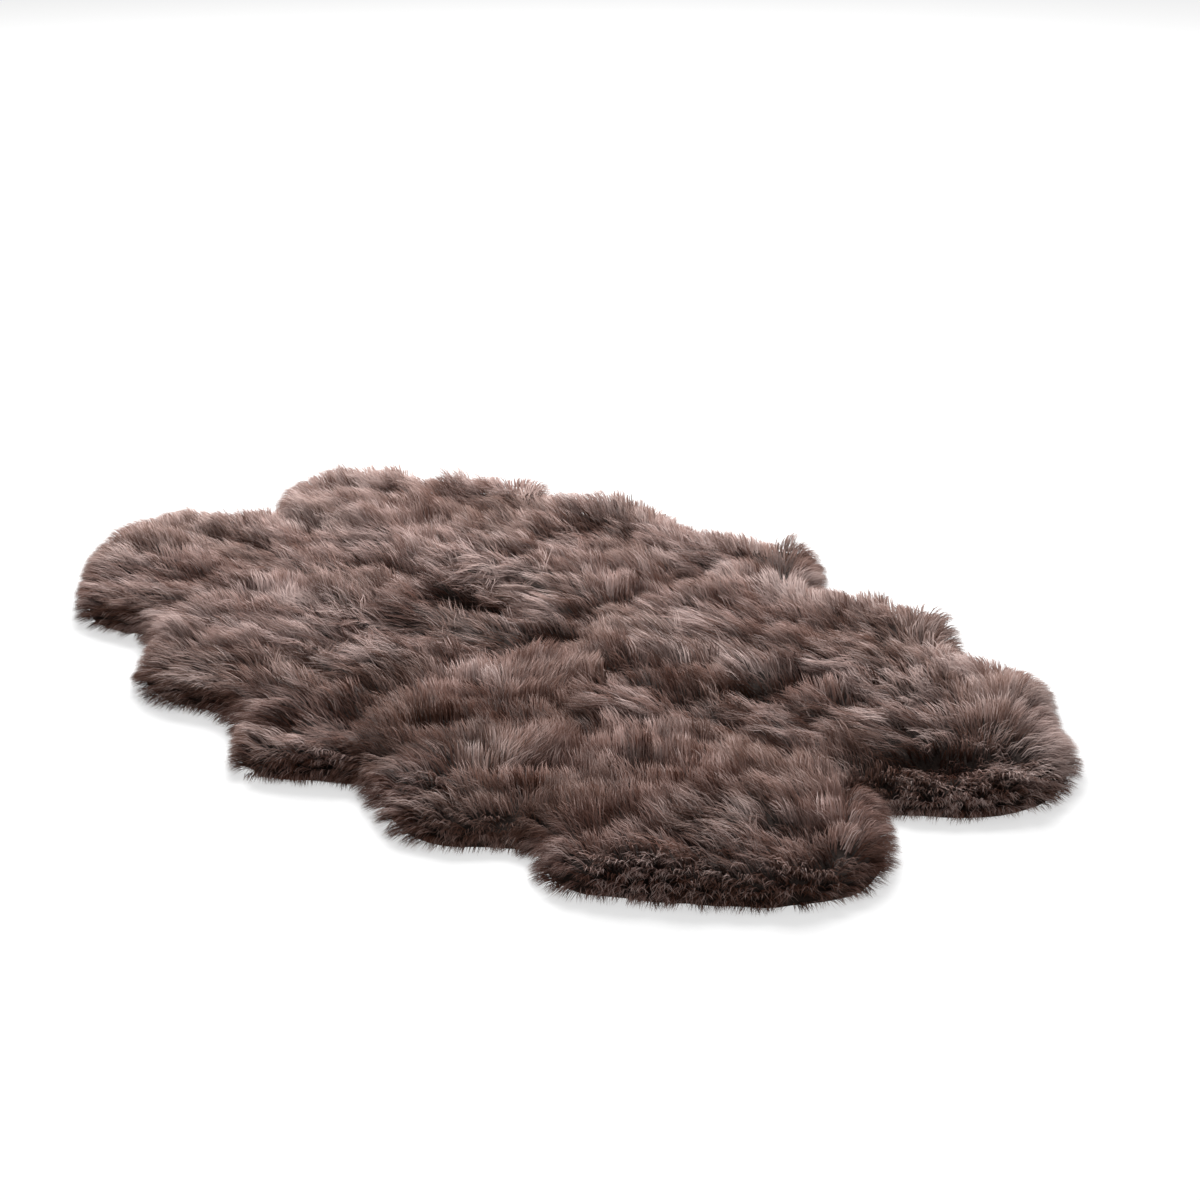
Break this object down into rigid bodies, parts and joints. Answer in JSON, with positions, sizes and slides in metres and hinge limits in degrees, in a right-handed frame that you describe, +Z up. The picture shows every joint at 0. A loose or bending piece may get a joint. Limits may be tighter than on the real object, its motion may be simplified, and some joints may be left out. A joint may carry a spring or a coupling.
{
  "type": "sheepskin rug",
  "caption": "Long-wool sheepskin floor rug of pelts sewn back to back and rump to rump, with natural scalloped edges and a flat skin side to lie on.",
  "frame": {"origin": "centre of the rug's box, on the floor side of the skins", "axes": "+X along the back seam towards the end whose necks lie nearest the camera, +Y across the rug, +Z up out of the wool"},
  "size_m": [1.8102, 1.2602, 0.0764],
  "materials": {
    "wool": "matte",
    "skin": "matte"
  },
  "bodies": {
    "root": {"pelt_near_left": "wool", "pelt_near_right": "wool", "pelt_far_right": "wool", "pelt_far_left": "wool"}
  },
  "joints": []
}
